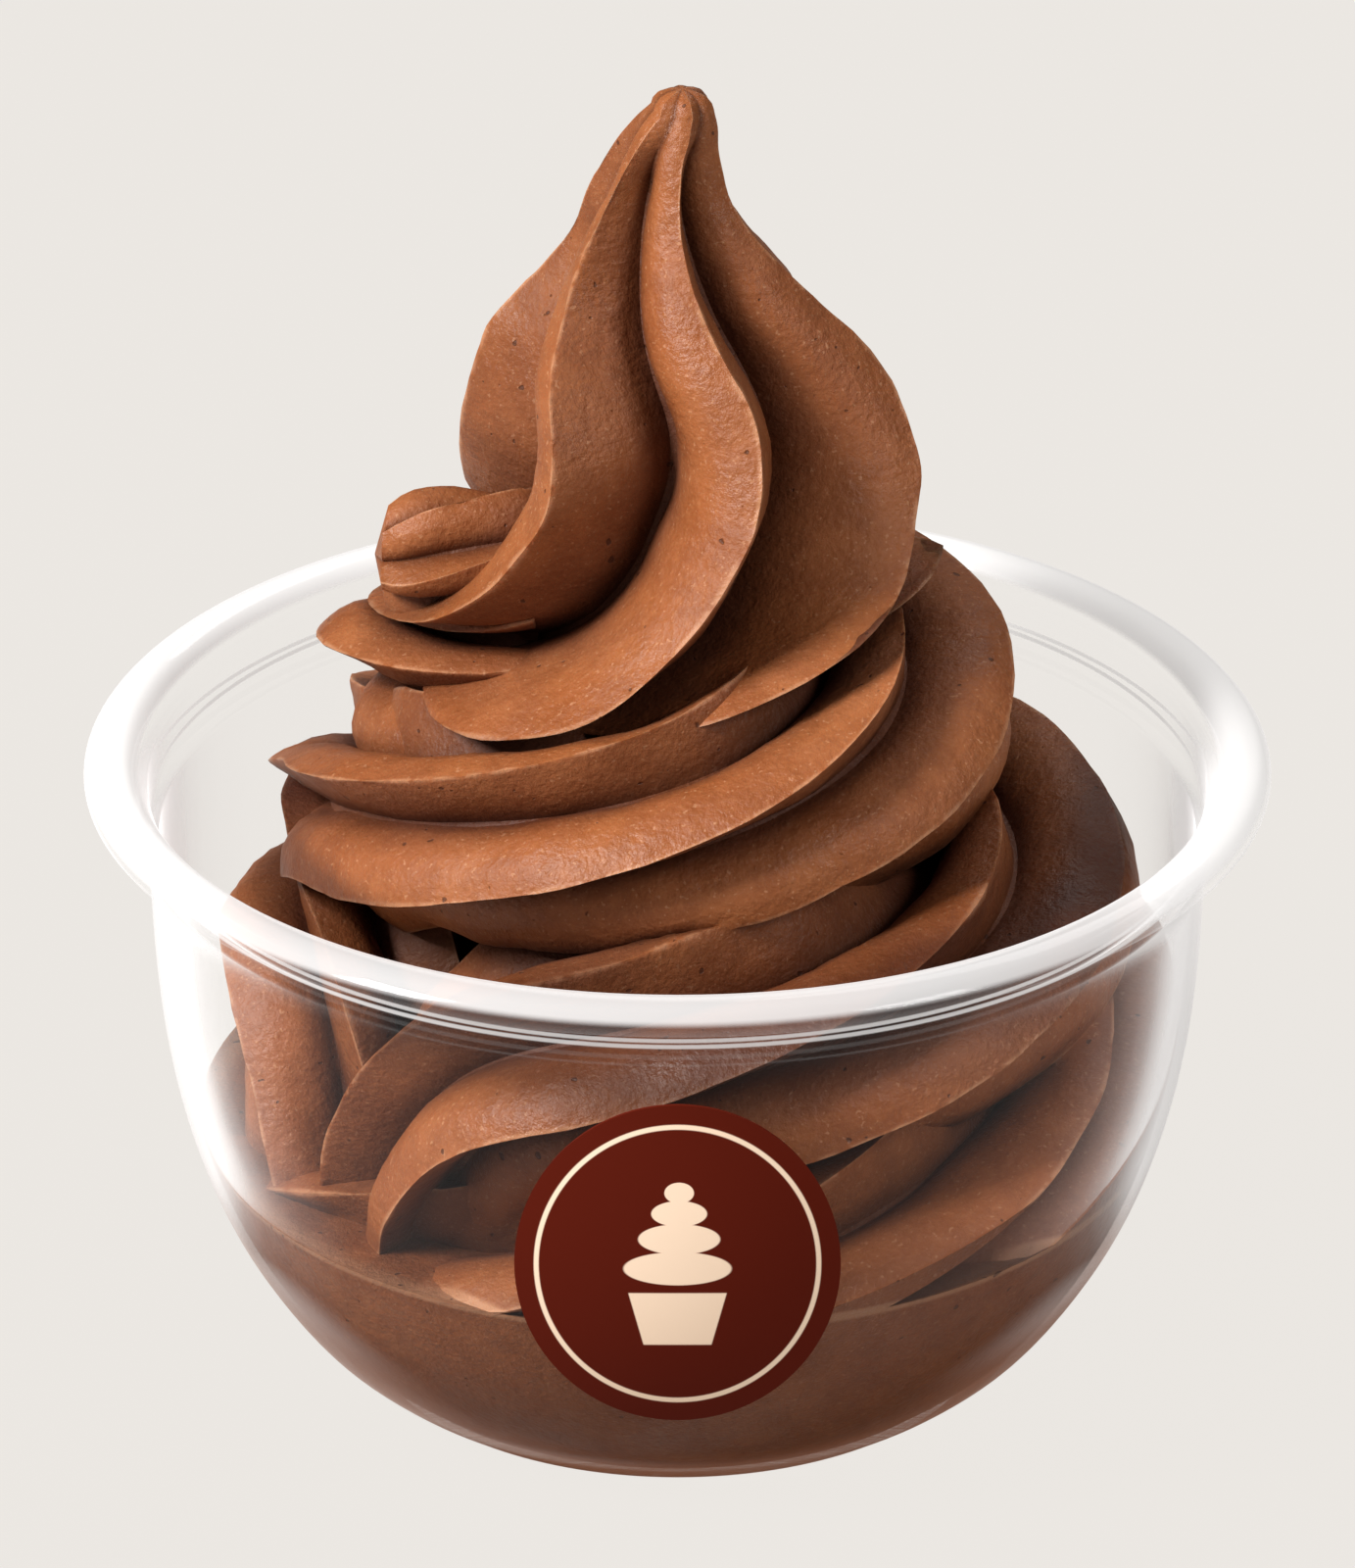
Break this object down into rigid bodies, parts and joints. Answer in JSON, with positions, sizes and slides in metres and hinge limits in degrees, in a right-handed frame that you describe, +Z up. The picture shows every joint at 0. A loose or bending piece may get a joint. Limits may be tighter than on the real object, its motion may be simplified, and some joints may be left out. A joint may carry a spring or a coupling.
{
  "type": "soft serve cup",
  "caption": "Clear round plastic bowl with a rolled rim, filled with chocolate soft serve piped in a rising ridged swirl to a peak, with a round sticker on its front.",
  "frame": {"origin": "middle of the cup's foot, on the table", "axes": "+Z up, -Y towards the front with the sticker, +X to the right seen from the front"},
  "size_m": [0.0948, 0.095, 0.1098],
  "materials": {
    "clear_plastic": "clear, glossy, thin walled",
    "chocolate_soft_serve": "smooth frozen chocolate cream, satin",
    "sticker_paper": "smooth printed paper"
  },
  "bodies": {
    "root": {"cup": "clear_plastic", "soft_serve": "chocolate_soft_serve", "sticker": "sticker_paper"}
  },
  "joints": []
}
